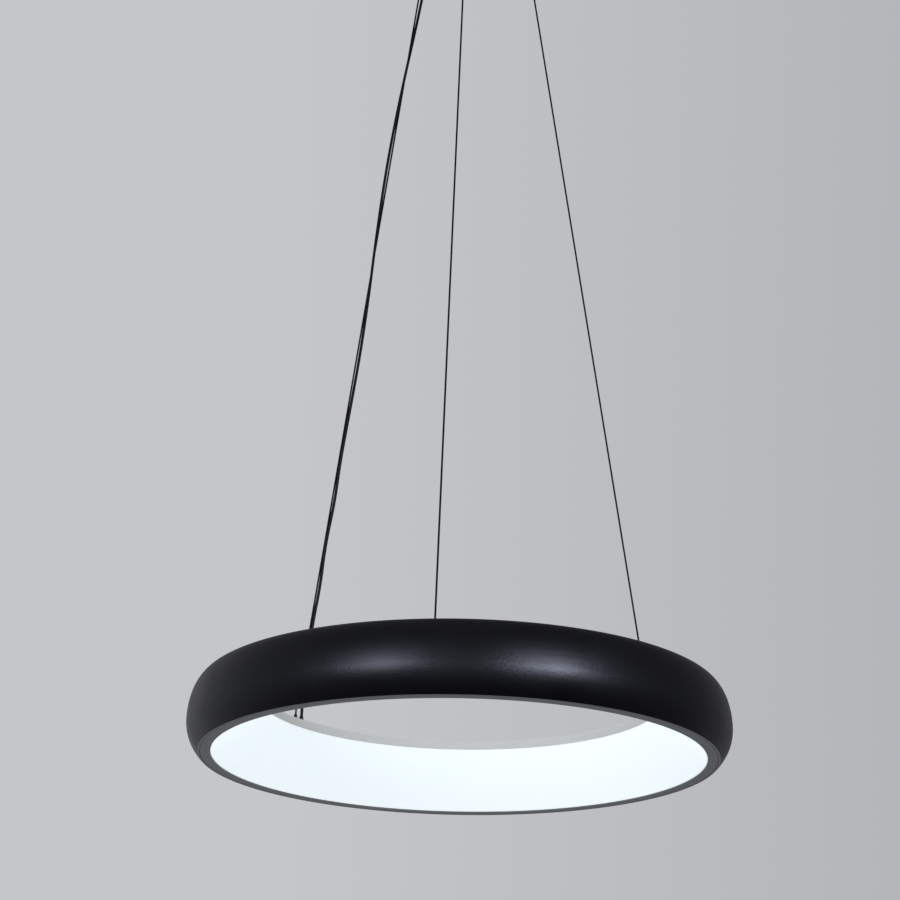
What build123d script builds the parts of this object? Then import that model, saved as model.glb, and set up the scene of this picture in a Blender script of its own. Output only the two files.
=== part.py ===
from build123d import *
import os
from math import asin, cos, degrees, radians, sin, sqrt, tan

os.makedirs("parts", exist_ok=True)

# Overall sizes in millimetres; the ceiling is z = 0 and the lamp hangs below it
RING_D = 600.0
RING_H = 80.0
DROP = 1100.0
CANOPY_D = 180.0
CANOPY_H = 45.0

# Clearances between neighbouring pieces
FIT = 0.3
HOLE_PLAY = 0.2
SLIDE_PLAY = 0.2

# Ring section, measured inward from the widest line and up from the lip
SHELL_T = 1.5
WIDEST_Z = 33.0
TOP_ROUND = 23.0
DISH = 2.2
MOUTH_IN = 14.0
LIP_W = 14.0
LIP_T = 1.5
BAND_W = 72.0
HOOP_T = 1.2
HOOP_LEAN = 3.7
HOOP_H = 11.5
TRAY_W = 46.0
TRAY_SCREW_IN = 34.0
DIFFUSER_T = 2.0
DIFFUSER_SEAT = 4.5
DIFFUSER_OVER = 1.0

# Light source under the tray
BOARDS = 6
BOARD_SPAN = 52.0
BOARD_IN = 18.0
BOARD_W = 14.0
BOARD_T = 1.2
CHIPS_PER_BOARD = 12
CHIP = (3.5, 2.8, 0.8)

# Suspension: three wires at 120 degrees, the first beside the power cord
WIRE_D = 1.8
CORD_D = 3.0
FIRST_WIRE = 143.6
ANCHOR_IN = 10.5
GRIP_IN = 30.0
ANCHOR_TALL = 7.0
ANCHOR_STUD_D = 5.0
ANCHOR_NUT = (8.0, 3.0)
STOP_D = 2.9
STOP_L = 5.0
WIRE_BEND = 40.0
RING_GLAND_STEP = 10.2
RING_GLAND_STEM_D = 6.0
RING_GLAND_NUT = (9.0, 3.0)
CANOPY_GLAND_STEP = 16.0
CANOPY_GLAND_STEM_D = 8.0
CANOPY_GLAND_NUT = (12.0, 4.0)

# Wire grippers under the canopy, released by pushing the plunger up
GRIP_D = 10.0
GRIP_L = 18.0
GRIP_STEM_D = 8.0
GRIP_NUT = (12.0, 4.0)
GRIP_CHAMBER_D = 7.8
GRIP_NECK_D = 6.4
GRIP_NECK_L = 3.0
GRIP_ROOF = 3.0
PLUNGER_OUT = 7.0
PLUNGER_TRAVEL = 2.5
PLUNGER_COLLAR_L = 4.0
PLUNGER_HEAD_L = 3.0
WIRE_TAIL = 14.0

# Canopy and what it covers
CANOPY_T = 1.5
CANOPY_ROUND = 8.0
CEILING_GAP = 0.5
PLATE_D = 156.0
PLATE_T = 2.0
TAB_W = 24.0
TAB_DROP = 16.0
TAB_SCREW_Z = 9.0
SLOT_SPAN = 100.0
SLOT_W = 5.0
SLOT_L = 16.0
BUSH_D = 16.0
BUSH_BORE = 10.0
DRIVER = (84.0, 36.0, 24.0)
DRIVER_X = -2.0
DRIVER_IN = 38.0
DRIVER_SCREWS = 60.0
TERMINAL = (34.0, 18.0, 15.0)
TERMINAL_AT = (0.0, -36.0)
EARTH_AT = (34.0, -34.0)

# Heights and radii that follow from the sizes above
RING_TOP = -(CANOPY_H + DROP)
LIP_Z = RING_TOP - RING_H
RING_R = RING_D / 2
MOUTH_R = RING_R - MOUTH_IN
LIP_R = MOUTH_R - LIP_W
HOOP_R = RING_R - BAND_W
ROUND_R = RING_R - TOP_ROUND
WALL_ARC = (MOUTH_IN**2 + WIDEST_Z**2) / (2 * MOUTH_IN)
FLAT_Z = RING_H - DISH
TRAY_TOP = FLAT_Z - SHELL_T
TRAY_LOW = TRAY_TOP - HOOP_T
HOOP_LOW = FLAT_Z - HOOP_H
ANCHOR_R = HOOP_R + ANCHOR_IN
ANCHOR_TIP = LIP_Z + FLAT_Z + ANCHOR_TALL
GRIP_R = CANOPY_D / 2 - GRIP_IN
FLOOR_Z = -CANOPY_H + CANOPY_T
DRIVER_AT = (DRIVER_X, PLATE_D / 2 - DRIVER_IN)
WIRE_TURNS = [FIRST_WIRE + 120 * i for i in range(3)]


def spot(radius, turn, z=0.0):
    """Point at a radius and a turn about the vertical axis."""
    return Vector(radius * cos(radians(turn)), radius * sin(radians(turn)), z)


def turned(*edges):
    """Solid of revolution about Z from a closed section of (radius, height) edges."""
    return revolve(Plane.XZ * make_face(Wire(list(edges))), Axis.Z)


def lathe(*points):
    """Solid of revolution about Z from a closed polygon of (radius, height) points."""
    return revolve(Plane.XZ * make_face(Polyline(*points, close=True)), Axis.Z)


def drill(at, diameter, low, high):
    """Plain round rod, used to cut holes and to make shanks."""
    return Pos(at.X, at.Y, (low + high) / 2) * Cylinder(diameter / 2, high - low)


def hexagon_nut(across, height, bore):
    """Hexagon nut standing on z = 0."""
    blank = extrude(RegularPolygon(across / 2, 6, major_radius=False), height)
    return blank - Pos(0, 0, height / 2) * Cylinder(bore / 2, 2 * height)


def button_screw(shank_d, length, head_d, head_h):
    """Button-head screw, head up from z = 0 and shank down."""
    dome = lathe((0, 0), (head_d / 2, 0), (head_d / 2, head_h * 0.4), (head_d * 0.28, head_h), (0, head_h))
    socket = Pos(0, 0, head_h) * extrude(RegularPolygon(shank_d * 0.28, 6), -head_h * 0.6)
    return dome - socket + Pos(0, 0, -length / 2) * Cylinder(shank_d / 2, length)


def flush_screw(shank_d, length, head_d, head_h):
    """Countersunk screw, head flush with z = 0 and shank down."""
    cone = lathe((0, 0), (head_d / 2, 0), (shank_d / 2, -head_h), (shank_d / 2, -length), (0, -length))
    slot = Box(head_d, shank_d * 0.2, head_h * 0.6)
    return cone - slot


def put(name, *solids):
    """Write one node; loose solids of one node stay separate solids."""
    shape = solids[0] if len(solids) == 1 else Compound(children=list(solids))
    shape.label = name
    export_step(shape, f"parts/{name}.step")


def wall_inner(z):
    """Inner radius of the shell's lower wall at a height above the lip."""
    return RING_R - WALL_ARC + sqrt((WALL_ARC - SHELL_T) ** 2 - (z - WIDEST_Z) ** 2)


def hoop_outer(z):
    """Outer radius of the leaning hoop at a height above the lip."""
    return HOOP_R + HOOP_T - HOOP_LEAN * (FLAT_Z - z) / HOOP_H


lift = Pos(0, 0, LIP_Z)
anchor_spots = [spot(ANCHOR_R, turn) for turn in WIRE_TURNS]
grip_spots = [spot(GRIP_R, turn) for turn in WIRE_TURNS]
ring_gland_turn = FIRST_WIRE - degrees(RING_GLAND_STEP / ANCHOR_R)
ring_gland = spot(ANCHOR_R, ring_gland_turn)
canopy_gland = spot(GRIP_R, FIRST_WIRE - degrees(CANOPY_GLAND_STEP / GRIP_R))
tray_screw_spots = [spot(HOOP_R + TRAY_SCREW_IN, FIRST_WIRE + 60 * i) for i in range(6)]
board_turns = [FIRST_WIRE + 30 + 60 * i for i in range(BOARDS)]
board_mid = HOOP_R + BOARD_IN + BOARD_W / 2
chip_step = BOARD_SPAN / CHIPS_PER_BOARD
board_screw_turn = (CHIPS_PER_BOARD / 2 - 2) * chip_step

# Outer shell: spun half-round wall, rolled crown and flat top dished a little below it
wall_low = degrees(asin(WIDEST_Z / WALL_ARC))
wall_low_in = degrees(asin(WIDEST_Z / (WALL_ARC - SHELL_T)))
wall_mid = (RING_R - WALL_ARC, WIDEST_Z)
round_mid = (ROUND_R, WIDEST_Z)
hole_r = HOOP_R + HOOP_T + FIT
round_h = RING_H - WIDEST_Z
roll_out = 180 - degrees(asin((FLAT_Z - WIDEST_Z) / round_h))
roll_in = 180 - degrees(asin((TRAY_TOP - WIDEST_Z) / (round_h - SHELL_T)))
flat_r = ROUND_R + TOP_ROUND * cos(radians(roll_out))
flat_r_in = ROUND_R + (TOP_ROUND - SHELL_T) * cos(radians(roll_in))
round_out = EllipticalCenterArc(round_mid, TOP_ROUND, round_h, 0, arc_size=roll_out)
round_in = EllipticalCenterArc(round_mid, TOP_ROUND - SHELL_T, round_h - SHELL_T, 0, arc_size=roll_in)
shell = turned(
    Line((hole_r, FLAT_Z), (flat_r, FLAT_Z)),
    round_out,
    CenterArc(wall_mid, WALL_ARC, -wall_low, wall_low),
    Line((MOUTH_R, 0), (wall_inner(0), 0)),
    CenterArc(wall_mid, WALL_ARC - SHELL_T, -wall_low_in, wall_low_in),
    round_in,
    Line((flat_r_in, TRAY_TOP), (hole_r, TRAY_TOP)),
    Line((hole_r, TRAY_TOP), (hole_r, FLAT_Z)),
)
for at in anchor_spots:
    shell -= drill(at, ANCHOR_STUD_D + HOLE_PLAY, TRAY_LOW, RING_H + 1)
shell -= drill(ring_gland, RING_GLAND_STEM_D + HOLE_PLAY, TRAY_LOW, RING_H + 1)
for at in tray_screw_spots:
    shell -= drill(at, 4.0 + HOLE_PLAY, TRAY_LOW, RING_H + 1)
put("outer_shell", lift * shell)

# Trim ring: flat lip that snaps into the shell's mouth and carries the diffuser
trim_r = wall_inner(0) - FIT
put("trim_ring", lift * lathe((LIP_R, 0), (trim_r, 0), (trim_r, LIP_T), (LIP_R, LIP_T)))

# Trim clips: leaf springs that spread behind the narrower mouth
clip_foot = LIP_R + DIFFUSER_SEAT + 0.7
clip_tip = wall_inner(10.9) - 0.4
clip_line = Polyline(
    (clip_foot, LIP_T),
    (trim_r - 0.9, LIP_T),
    (clip_tip, 10.9),
    (clip_tip - 0.5, 11.5),
    (trim_r - 1.3, LIP_T + 0.8),
    (clip_foot, LIP_T + 0.8),
    close=True,
)
clip = extrude(Plane.XZ * make_face(clip_line), 6, both=True)
put("trim_clips", *[lift * Rot(0, 0, FIRST_WIRE + 60 * i) * clip for i in range(6)])

# Diffuser: opal cone clamped between the trim ring and the hoop
cone_low = (LIP_R - DIFFUSER_OVER, LIP_T)
cone_high = (HOOP_R - HOOP_LEAN, HOOP_LOW)
run_r = cone_low[0] - cone_high[0]
run_z = cone_high[1] - cone_low[1]
cone_step = DIFFUSER_T * sqrt(run_r**2 + run_z**2) / run_z
seat_z = LIP_T + DIFFUSER_T
seat_r = cone_low[0] + cone_step - DIFFUSER_T * run_r / run_z
put("diffuser", lift * lathe(
    cone_low,
    (LIP_R + DIFFUSER_SEAT, LIP_T),
    (LIP_R + DIFFUSER_SEAT, seat_z),
    (seat_r, seat_z),
    (cone_high[0] + cone_step, cone_high[1]),
    cone_high,
))

# Light tray: white plate under the shell's top, turned down into the visible hoop
tray_r = HOOP_R + TRAY_W
tray = lathe(
    (HOOP_R, FLAT_Z),
    (HOOP_R + HOOP_T, FLAT_Z),
    (hoop_outer(TRAY_TOP), TRAY_TOP),
    (tray_r, TRAY_TOP),
    (tray_r, TRAY_LOW),
    (hoop_outer(TRAY_LOW), TRAY_LOW),
    (hoop_outer(HOOP_LOW), HOOP_LOW),
    cone_high,
)
for at in anchor_spots:
    tray -= drill(at, ANCHOR_STUD_D + HOLE_PLAY, TRAY_LOW - 1, RING_H)
tray -= drill(ring_gland, RING_GLAND_STEM_D + HOLE_PLAY, TRAY_LOW - 1, RING_H)
for at in tray_screw_spots:
    tray -= drill(at, 4.0 + HOLE_PLAY, TRAY_LOW - 1, RING_H)
screw_turns = [turn + side * board_screw_turn for turn in board_turns for side in (-1, 1)]
board_screw_spots = [spot(board_mid, turn) for turn in screw_turns]
for at in board_screw_spots:
    tray -= drill(at, 3.0 + HOLE_PLAY, TRAY_LOW - 1, TRAY_TOP)
put("light_tray", lift * tray)

# Tray screws: button heads on the shell's top with nuts under the tray
screw = button_screw(4.0, SHELL_T + HOOP_T + 5, 7.5, 2.2)
put("tray_screws", *[lift * Pos(at.X, at.Y, FLAT_Z) * screw for at in tray_screw_spots])
nut = hexagon_nut(7.0, 3.0, 4.0 + HOLE_PLAY)
put("tray_nuts", *[lift * Pos(at.X, at.Y, TRAY_LOW - 3.0) * nut for at in tray_screw_spots])

# LED boards: six arcs screwed under the tray, chips facing the diffuser
board_low = TRAY_LOW - BOARD_T
board_in = HOOP_R + BOARD_IN
board_section = Polyline(
    (board_in, board_low),
    (board_in + BOARD_W, board_low),
    (board_in + BOARD_W, TRAY_LOW),
    (board_in, TRAY_LOW),
    close=True,
)
board = Rot(0, 0, -BOARD_SPAN / 2) * revolve(Plane.XZ * make_face(board_section), Axis.Z, BOARD_SPAN)
for side in (-1, 1):
    board -= drill(spot(board_mid, side * board_screw_turn), 3.0 + HOLE_PLAY, board_low - 1, TRAY_LOW + 1)
chips = []
for i, turn in enumerate(board_turns):
    put(f"led_board_{i + 1}", lift * Rot(0, 0, turn) * board)
    for k in range(CHIPS_PER_BOARD):
        chip_turn = turn + (k - (CHIPS_PER_BOARD - 1) / 2) * chip_step
        chip_at = Rot(0, 0, chip_turn) * Pos(board_mid, 0, board_low - CHIP[2] / 2)
        chips.append(lift * chip_at * Box(CHIP[1], CHIP[0], CHIP[2]))
put("led_chips", *chips)

# Board screws: pan heads below the boards
screw = Rot(180, 0, 0) * button_screw(3.0, BOARD_T + HOOP_T - 0.2, 5.5, 1.6)
put("board_screws", *[lift * Pos(at.X, at.Y, board_low) * screw for at in board_screw_spots])

# Wire anchors: slim bored studs through the shell and the tray
wire_bore = WIRE_D + 2 * FIT
stud_low = TRAY_LOW - ANCHOR_NUT[1] - 1.0
shoulder = FLAT_Z - 1.0
anchor = lathe(
    (wire_bore / 2, FLAT_Z + ANCHOR_TALL),
    (1.9, FLAT_Z + ANCHOR_TALL),
    (2.2, FLAT_Z + 1.5),
    (4.0, FLAT_Z + 1.2),
    (4.0, FLAT_Z),
    (ANCHOR_STUD_D / 2, FLAT_Z),
    (ANCHOR_STUD_D / 2, stud_low),
    (STOP_D / 2 + 0.15, stud_low),
    (STOP_D / 2 + 0.15, shoulder),
    (wire_bore / 2, shoulder),
)
for i, at in enumerate(anchor_spots):
    put(f"wire_anchor_{i + 1}", lift * Pos(at.X, at.Y, 0) * anchor)
nut = hexagon_nut(*ANCHOR_NUT, ANCHOR_STUD_D + HOLE_PLAY)
nut_z = TRAY_LOW - ANCHOR_NUT[1]
put("anchor_nuts", *[lift * Pos(at.X, at.Y, nut_z) * nut for at in anchor_spots])
stop = Pos(0, 0, shoulder - STOP_L / 2) * Cylinder(STOP_D / 2, STOP_L)
put("wire_end_stops", *[lift * Pos(at.X, at.Y, 0) * stop for at in anchor_spots])

# Ring cord gland: slim nylon nozzle beside the first anchor
gland_bore = CORD_D + 2 * FIT
ring_nozzle = lathe(
    (gland_bore / 2, FLAT_Z + ANCHOR_TALL),
    (2.4, FLAT_Z + ANCHOR_TALL),
    (2.7, FLAT_Z + 1.5),
    (4.5, FLAT_Z + 1.2),
    (4.5, FLAT_Z),
    (RING_GLAND_STEM_D / 2, FLAT_Z),
    (RING_GLAND_STEM_D / 2, TRAY_LOW - RING_GLAND_NUT[1] - 1),
    (gland_bore / 2, TRAY_LOW - RING_GLAND_NUT[1] - 1),
)
put("ring_cord_gland", lift * Pos(ring_gland.X, ring_gland.Y, 0) * ring_nozzle)
nut = hexagon_nut(*RING_GLAND_NUT, RING_GLAND_STEM_D + HOLE_PLAY)
nut_at = Pos(ring_gland.X, ring_gland.Y, TRAY_LOW - RING_GLAND_NUT[1])
put("ring_gland_nut", lift * nut_at * nut)

# Suspension wires: upright in the anchor and the gripper, straight between them
for i in range(3):
    low = anchor_spots[i]
    high = grip_spots[i]
    wire_path = FilletPolyline(
        (low.X, low.Y, LIP_Z + shoulder),
        (low.X, low.Y, ANCHOR_TIP + 5),
        (high.X, high.Y, -CANOPY_H - GRIP_L - PLUNGER_OUT - 5),
        (high.X, high.Y, FLOOR_Z + WIRE_TAIL),
        radius=WIRE_BEND,
    )
    wire = sweep(Plane(wire_path @ 0, z_dir=wire_path % 0) * Circle(WIRE_D / 2), path=wire_path)
    put(f"suspension_wire_{i + 1}", wire)
    print("wire", i + 1, "length", round(wire_path.length, 1), "bend radius", WIRE_BEND)

# Power cord: height above the ring's top and offset from the first wire's straight line
CORD_ROUTE = [
    (75, 3.6, 2.2),
    (112, 3.5, -1.4),
    (148, 0.8, -3.5),
    (184, -2.7, -2.4),
    (228, -0.4, -3.6),
    (299, 1.4, -3.4),
    (372, 3.0, -2.0),
    (445, 3.5, 0.6),
    (518, 1.7, 3.1),
    (591, -1.6, 3.2),
    (665, -3.5, 0.6),
    (738, -3.0, -2.2),
    (811, -0.2, -3.7),
    (882, 3.3, -2.2),
    (950, 5.0, 2.0),
]
CORD_END = 14.0
gland_low = TRAY_LOW - RING_GLAND_NUT[1] - 1
straight_low = ANCHOR_TIP + 5 - RING_TOP
straight_high = DROP - GRIP_L - PLUNGER_OUT - 5
cord_points = [ring_gland + Vector(0, 0, LIP_Z + gland_low - CORD_END), ring_gland + Vector(0, 0, RING_TOP + 32)]
for height, side, back in CORD_ROUTE:
    share = (height - straight_low) / (straight_high - straight_low)
    on_wire = anchor_spots[0] + (grip_spots[0] - anchor_spots[0]) * share
    cord_points.append(Vector(on_wire.X + side, on_wire.Y + back, RING_TOP + height))
driver_low = -PLATE_T - DRIVER[2]
cord_points.append(canopy_gland + Vector(0, 0, -CANOPY_H - 60))
cord_points.append(canopy_gland + Vector(0, 0, driver_low))
cord_bends = []
for before, here, after in zip(cord_points, cord_points[1:], cord_points[2:]):
    half_turn = radians((here - before).get_angle(after - here)) / 2
    shorter = min((here - before).length, (after - here).length)
    cord_bends.append(min(0.45 * shorter / tan(half_turn), 2500.0))
cord_path = FilletPolyline(*cord_points, radius=cord_bends)
cord = sweep(Plane(cord_path @ 0, z_dir=cord_path % 0) * Circle(CORD_D / 2), path=cord_path)
put("power_cord", cord)
print("cord length", round(cord_path.length, 1), "bend radii", [round(bend) for bend in cord_bends])
print("cord volume", round(cord.volume), "section times length", round(3.14159265 * (CORD_D / 2) ** 2 * cord_path.length))

# Board leads: the cord's two cores, bent round to the nearest LED board
lead_d = 1.2
core_top = LIP_Z + gland_low - CORD_END
leads = []
for side in (-1, 1):
    near = spot(ANCHOR_R, ring_gland_turn + side * degrees(0.7 / ANCHOR_R))
    far = spot(board_in + 2.5, ring_gland_turn + side * degrees(0.7 / ANCHOR_R))
    lead_path = FilletPolyline(
        near + Vector(0, 0, core_top),
        near + Vector(0, 0, core_top - 6),
        far + Vector(0, 0, core_top - 6),
        far + Vector(0, 0, LIP_Z + board_low),
        radius=4.0,
    )
    leads.append(sweep(Plane(lead_path @ 0, z_dir=lead_path % 0) * Circle(lead_d / 2), path=lead_path))
put("board_leads", *leads)

# Canopy cover: shallow spun cup over the ceiling plate
canopy_r = CANOPY_D / 2
cup = Pos(0, 0, -(CANOPY_H + CEILING_GAP) / 2) * Cylinder(canopy_r, CANOPY_H - CEILING_GAP)
cup = fillet(cup.edges().sort_by(Axis.Z)[0], CANOPY_ROUND)
hollow = Pos(0, 0, FLOOR_Z + CANOPY_H) * Cylinder(canopy_r - CANOPY_T, 2 * CANOPY_H)
hollow = fillet(hollow.edges().sort_by(Axis.Z)[0], CANOPY_ROUND - CANOPY_T)
cup -= hollow
for at in grip_spots:
    cup -= drill(at, GRIP_STEM_D + HOLE_PLAY, -CANOPY_H - 1, FLOOR_Z + 1)
cup -= drill(canopy_gland, CANOPY_GLAND_STEM_D + HOLE_PLAY, -CANOPY_H - 1, FLOOR_Z + 1)
side_hole = Pos(0, 0, -TAB_SCREW_Z) * Rot(0, 90, 0) * Cylinder((4.0 + HOLE_PLAY) / 2, 2 * CANOPY_D)
put("canopy_cover", cup - side_hole)

# Ceiling plate: pressed disc with two turned-down tabs for the canopy screws
tab_x = sqrt((canopy_r - CANOPY_T) ** 2 - (TAB_W / 2) ** 2) - FIT
plate = Pos(0, 0, -PLATE_T / 2) * Cylinder(PLATE_D / 2, PLATE_T)
plate += Pos(0, 0, -PLATE_T / 2) * Box(2 * tab_x, TAB_W, PLATE_T)
for side in (-1, 1):
    plate += Pos(side * (tab_x - PLATE_T / 2), 0, -TAB_DROP / 2) * Box(PLATE_T, TAB_W, TAB_DROP)
    slot = Pos(side * SLOT_SPAN / 2, 0) * SlotOverall(SLOT_L, SLOT_W)
    plate -= extrude(slot, 2 * PLATE_T, both=True)
plate -= Cylinder((BUSH_D + HOLE_PLAY) / 2, 4 * PLATE_T)
plate -= side_hole
driver_screw_spots = [Vector(DRIVER_AT[0] + side * DRIVER_SCREWS / 2, DRIVER_AT[1]) for side in (-1, 1)]
terminal_screw_spots = [Vector(*TERMINAL_AT)]
flush = flush_screw(3.0, 8.0, 5.6, 1.5)
flush_hole = lathe((0, 1), (3.0, 1), (3.0, 0), (1.6, -1.6), (1.6, -9), (0, -9))
for at in driver_screw_spots + terminal_screw_spots:
    plate -= Pos(at.X, at.Y, 0) * flush_hole
plate -= drill(Vector(*EARTH_AT), 4.0 + HOLE_PLAY, -2 * PLATE_T, 1)
put("ceiling_plate", plate)

# Cable bush: edge guard of the mains cable hole
put("cable_bush", lathe(
    (BUSH_BORE / 2, -FIT),
    (BUSH_D / 2, -FIT),
    (BUSH_D / 2, -PLATE_T),
    (BUSH_D / 2 + 2.5, -PLATE_T),
    (BUSH_D / 2 + 2.5, -PLATE_T - 2.0),
    (BUSH_BORE / 2, -PLATE_T - 2.0),
))

# Canopy screws: through the cover's skirt into the tabs
screw = button_screw(4.0, 8.0, 8.0, 2.4)
side_screws = []
for side in (-1, 1):
    side_screws.append(Pos(side * (canopy_r + 0.02), 0, -TAB_SCREW_Z) * Rot(0, side * 90, 0) * screw)
put("canopy_screws", *side_screws)

# LED driver, mains terminal and their fixings, all hung under the plate
driver_case = Pos(DRIVER_AT[0], DRIVER_AT[1], -PLATE_T - DRIVER[2] / 2) * Box(*DRIVER)
driver_case = fillet(driver_case.edges().filter_by(Axis.Z), 4.0)
for at in driver_screw_spots:
    driver_case -= drill(at, 3.0 + HOLE_PLAY, -PLATE_T - 7, 0)
put("led_driver", driver_case)
put("driver_screws", *[Pos(at.X, at.Y, 0) * flush for at in driver_screw_spots])
block = Pos(TERMINAL_AT[0], TERMINAL_AT[1], -PLATE_T - TERMINAL[2] / 2) * Box(*TERMINAL)
for i in (-1, 0, 1):
    entry = Pos(TERMINAL_AT[0] + i * 10.5, TERMINAL_AT[1], -PLATE_T - 8.5) * Rot(90, 0, 0)
    block -= entry * Cylinder(2.0, 2 * TERMINAL[1])
    screw_well = Vector(TERMINAL_AT[0] + i * 10.5, TERMINAL_AT[1] + 5)
    block -= drill(screw_well, 4.0, -PLATE_T - TERMINAL[2] - 1, -PLATE_T - 8.5)
block -= drill(terminal_screw_spots[0], 3.0 + HOLE_PLAY, -PLATE_T - 7, 0)
put("mains_terminal", block)
put("terminal_screw", Pos(TERMINAL_AT[0], TERMINAL_AT[1], 0) * flush_screw(3.0, 5.5, 5.6, 1.5))
clamp = flush_screw(3.6, 4.0, 3.6, 1.0)
clamps = []
for i in (-1, 0, 1):
    clamp_at = Pos(TERMINAL_AT[0] + i * 10.5, TERMINAL_AT[1] + 5, -PLATE_T - TERMINAL[2] + 1)
    clamps.append(clamp_at * Rot(180, 0, 0) * clamp)
put("terminal_clamps", *clamps)
put("earth_screw", Pos(EARTH_AT[0], EARTH_AT[1], -PLATE_T) * Rot(180, 0, 0) * button_screw(4.0, PLATE_T - 0.2, 8.0, 2.6))

# Wire grippers: flanged barrels nutted through the canopy's floor
base = -CANOPY_H
barrel_low = base - GRIP_L
neck_top = barrel_low + GRIP_NECK_L
chamber_top = base - GRIP_ROOF
stem_top = FLOOR_Z + GRIP_NUT[1] + 2
barrel = lathe(
    (wire_bore / 2, stem_top),
    (GRIP_STEM_D / 2, stem_top),
    (GRIP_STEM_D / 2, base),
    (6.5, base),
    (6.5, base - 2.0),
    (GRIP_D / 2, base - 2.4),
    (GRIP_D / 2, barrel_low + 0.6),
    (GRIP_D / 2 - 0.6, barrel_low),
    (GRIP_NECK_D / 2, barrel_low),
    (GRIP_NECK_D / 2, neck_top),
    (GRIP_CHAMBER_D / 2, neck_top),
    (GRIP_CHAMBER_D / 2, chamber_top),
    (wire_bore / 2, chamber_top),
)
for i, at in enumerate(grip_spots):
    put(f"gripper_body_{i + 1}", Pos(at.X, at.Y, 0) * barrel)
nut = hexagon_nut(*GRIP_NUT, GRIP_STEM_D + HOLE_PLAY)
put("gripper_nuts", *[Pos(at.X, at.Y, FLOOR_Z) * nut for at in grip_spots])

# Release plungers: headed sleeves resting on the barrel's neck
tip = barrel_low - PLUNGER_OUT
plunger = lathe(
    (wire_bore / 2, neck_top + PLUNGER_HEAD_L),
    (GRIP_CHAMBER_D / 2 - SLIDE_PLAY, neck_top + PLUNGER_HEAD_L),
    (GRIP_CHAMBER_D / 2 - SLIDE_PLAY, neck_top),
    (GRIP_NECK_D / 2 - SLIDE_PLAY, neck_top),
    (GRIP_NECK_D / 2 - SLIDE_PLAY, tip + PLUNGER_COLLAR_L),
    (4.0, tip + PLUNGER_COLLAR_L),
    (4.0, tip + 1.0),
    (3.0, tip),
    (wire_bore / 2 + 0.5, tip),
    (wire_bore / 2, tip + 0.8),
)
for i, at in enumerate(grip_spots):
    put(f"gripper_plunger_{i + 1}", Pos(at.X, at.Y, 0) * plunger)

# Gripper springs: coils between the plunger's head and the chamber's roof
spring_low = neck_top + PLUNGER_HEAD_L
spring_wire = 0.7
spring_rise = chamber_top - spring_low - spring_wire - 0.02
spring_path = Helix(spring_rise / 3.5, spring_rise, 2.9)
coil = sweep(Plane(spring_path @ 0, z_dir=spring_path % 0) * Circle(spring_wire / 2), path=spring_path, is_frenet=True)
for i, at in enumerate(grip_spots):
    put(f"gripper_spring_{i + 1}", Pos(at.X, at.Y, spring_low + spring_wire / 2 + 0.01) * coil)

# Canopy cord gland beside the first gripper
canopy_nozzle = lathe(
    (gland_bore / 2, stem_top),
    (CANOPY_GLAND_STEM_D / 2, stem_top),
    (CANOPY_GLAND_STEM_D / 2, base),
    (6.0, base),
    (6.0, base - 2.0),
    (4.6, base - 2.6),
    (3.2, base - 11.0),
    (gland_bore / 2 + 0.5, base - 11.0),
    (gland_bore / 2, base - 10.2),
)
put("canopy_cord_gland", Pos(canopy_gland.X, canopy_gland.Y, 0) * canopy_nozzle)
nut = hexagon_nut(*CANOPY_GLAND_NUT, CANOPY_GLAND_STEM_D + HOLE_PLAY)
put("canopy_gland_nut", Pos(canopy_gland.X, canopy_gland.Y, FLOOR_Z) * nut)
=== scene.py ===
import math

import bpy
from mathutils import Euler, Matrix, Vector


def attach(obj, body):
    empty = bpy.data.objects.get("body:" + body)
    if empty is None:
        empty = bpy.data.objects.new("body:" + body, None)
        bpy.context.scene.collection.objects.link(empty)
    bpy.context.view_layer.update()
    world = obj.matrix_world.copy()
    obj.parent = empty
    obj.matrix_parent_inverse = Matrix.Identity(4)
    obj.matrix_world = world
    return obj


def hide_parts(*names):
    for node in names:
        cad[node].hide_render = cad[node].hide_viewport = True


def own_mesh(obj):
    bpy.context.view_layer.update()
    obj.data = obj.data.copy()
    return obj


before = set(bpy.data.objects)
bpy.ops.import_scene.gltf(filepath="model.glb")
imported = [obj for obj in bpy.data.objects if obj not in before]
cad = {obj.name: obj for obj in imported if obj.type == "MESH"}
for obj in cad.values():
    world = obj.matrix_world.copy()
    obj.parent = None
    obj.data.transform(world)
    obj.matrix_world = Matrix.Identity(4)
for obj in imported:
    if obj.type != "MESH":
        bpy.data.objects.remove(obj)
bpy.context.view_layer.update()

# Camera: stands in front of the lamp and below it, tipped up, so that the ring lies low in the
# picture and the wires run out at the top. It is rolled one degree, as the photograph is.
LIP_Z = -1.225
CAMERA_DISTANCE = 2.5
CAMERA_BELOW = math.radians(13.078)
CAMERA_TIP = 20.937
CAMERA_TURN = 0.386
CAMERA_ROLL = 1.144
SENSOR_WIDTH = 36.0
FOCAL_LENGTH = 90.15
FAR_CLIP = 60.0
camera_data = bpy.data.cameras.new("camera")
camera_data.sensor_width = SENSOR_WIDTH
camera_data.lens = FOCAL_LENGTH
camera_data.clip_end = FAR_CLIP
camera = bpy.data.objects.new("camera", camera_data)
bpy.context.scene.collection.objects.link(camera)
camera.location = (
    0,
    -CAMERA_DISTANCE * math.cos(CAMERA_BELOW),
    LIP_Z - CAMERA_DISTANCE * math.sin(CAMERA_BELOW),
)
tip_up = Euler((math.radians(90 + CAMERA_TIP), 0, math.radians(CAMERA_TURN))).to_matrix()
camera.rotation_euler = (tip_up @ Matrix.Rotation(math.radians(CAMERA_ROLL), 3, "Z")).to_euler()
bpy.context.scene.camera = camera
bpy.context.scene.view_settings.view_transform = "Standard"


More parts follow.
